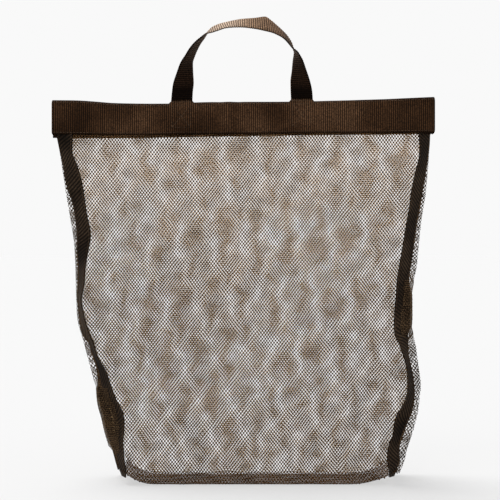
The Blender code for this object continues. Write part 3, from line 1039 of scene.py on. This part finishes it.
def leg_boxes(centre, wide, out, x, width):
    """Boxed crosses over the sewn ends of a handle, on the rim's outer face."""
    rows = []
    for leg in LEGS:
        low, high = leg - BOX_HALF_WIDTH, leg + BOX_HALF_WIDTH
        corners = [(low, BOX_TOP), (high, BOX_TOP), (high, BOX_FOOT), (low, BOX_FOOT), (low, BOX_TOP),
                   (high, BOX_FOOT), (low, BOX_FOOT), (high, BOX_TOP)]
        for (x0, v0), (x1, v1) in zip(corners, corners[1:]):
            t = np.linspace(0, 1, BOX_STEPS)
            at, share = x0 + (x1 - x0) * t, v0 + (v1 - v0) * t
            pick, up, off = (read_at(at, x, path) for path in (centre, wide, out))
            rows.append((pick + up * (share * np.interp(at, x, width))[:, None] + off * RIM_SEAM_RISE, off))
    return rows


def make_side_rims():
    """The webbing over the gussets' tops, in two halves, one toward each long wall."""
    for side, sign in SIDES.items():
        k = 0 if sign < 0 else -1
        for face, toward in FACES.items():
            _, top, foot, _, wave = rim_path(face)
            reach = RIM_HALF_DEPTH + RIM_LAYERS["band"] + wave[k]
            t = np.linspace(0, 1, SIDE_RIM_STEPS)
            x = RIM_ENDS[k] + sign * SIDE_RIM_BULGE * (1 - t ** 4)
            path = np.stack([x, toward * reach * t, np.full_like(t, (top[k] + foot[k]) / 2)], 1)
            out = np.stack([np.full_like(t, sign), toward * t ** 4, np.zeros_like(t)], 1)
            path, out = resample(path, RIB_STEP, unit(out))
            up, out = square_up(path, np.array([0.0, 0.0, 1.0]), unit(out))
            piece = strap(f"{side}_rim_{face}", path, up, out, top[k] - foot[k], RIM_LOOK)
            join_wall(piece)
            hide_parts(f"{side}_rim_band")


def handle_frame(face):
    """A handle's middle line and its direction across, from the two edges that the picture shows."""
    sign = FACES[face]
    lean = math.tan(HANDLE_LEAN[face])
    edges = np.array(HANDLE_EDGES, float)
    knots = np.arange(len(edges))
    at = np.linspace(0, len(edges) - 1, HANDLE_STEPS)
    outer, inner = (np.stack([smooth(at, knots, edges[:, n, k]) for k in (0, 1)], 1) for n in (0, 1))
    start = seen(0, (outer[0, 1] + inner[0, 1]) / 2, sign * RIM_HALF_DEPTH)[1]
    foot = np.clip(np.minimum(at, at[-1] - at) / HANDLE_FOOT, 0, 1)
    foot = foot * foot * (3 - 2 * foot)
    y, depth = np.full(len(at), sign * RIM_HALF_DEPTH), np.zeros(len(at))
    for _ in range(HANDLE_ROUNDS):
        ends = []
        for edge, toward in ((outer, 1), (inner, -1)):
            edge_y = y + toward * sign * depth / 2
            x, z = seen(edge[:, 0], edge[:, 1], edge_y)
            ends.append(np.stack([x, edge_y, z], 1))
        seen_width = np.hypot(*(ends[1] - ends[0])[:, [0, 2]].T)
        depth = foot * np.sqrt(np.maximum(HANDLE_WIDTH ** 2 - seen_width ** 2, 0))
        centre = (ends[0] + ends[1]) / 2
        up = np.maximum(centre[:, 2] - start, 0)
        bent = np.where(up < HANDLE_BEND, up ** 2 / (2 * HANDLE_BEND), up - HANDLE_BEND / 2)
        y = sign * (RIM_HALF_DEPTH + bent * lean)
    return centre, (ends[1] - ends[0]) * HANDLE_SHRINK[face]


def make_handles():
    for face, sign in FACES.items():
        centre, wide = handle_frame(face)
        centre, wide = resample(centre, RIB_STEP, wide)
        width = np.linalg.norm(wide, axis=1)
        across = unit(wide)
        out = unit(np.cross(across, unit(np.gradient(centre, axis=0))))
        piece = strap(f"{face}_handle_strap", centre, across, out, width, STRAP_LOOK)
        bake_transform(piece)
        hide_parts(f"{face}_handle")
        for side, foot in (("left", 0), ("right", -1)):
            top = centre[foot]
            z = np.linspace(top[2] - END_LENGTH, top[2], END_STEPS)
            path = np.array([(top[0], sign * RIM_HALF_DEPTH, height) for height in z])
            # The sewn-in ends sit at the start of the strap's colour table: black, a painted shade
            end = strap(f"{face}_handle_{side}_end_strap", path, [1, 0, 0], [0, sign, 0], width[foot],
                        STRAP_LOOK, f"{face}_wall", painted_light=0)
            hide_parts(f"{face}_handle_{side}_end")


make_stage()
make_walls()
make_gussets()
make_base()
make_tapes()
make_rims()
make_side_rims()
make_handles()
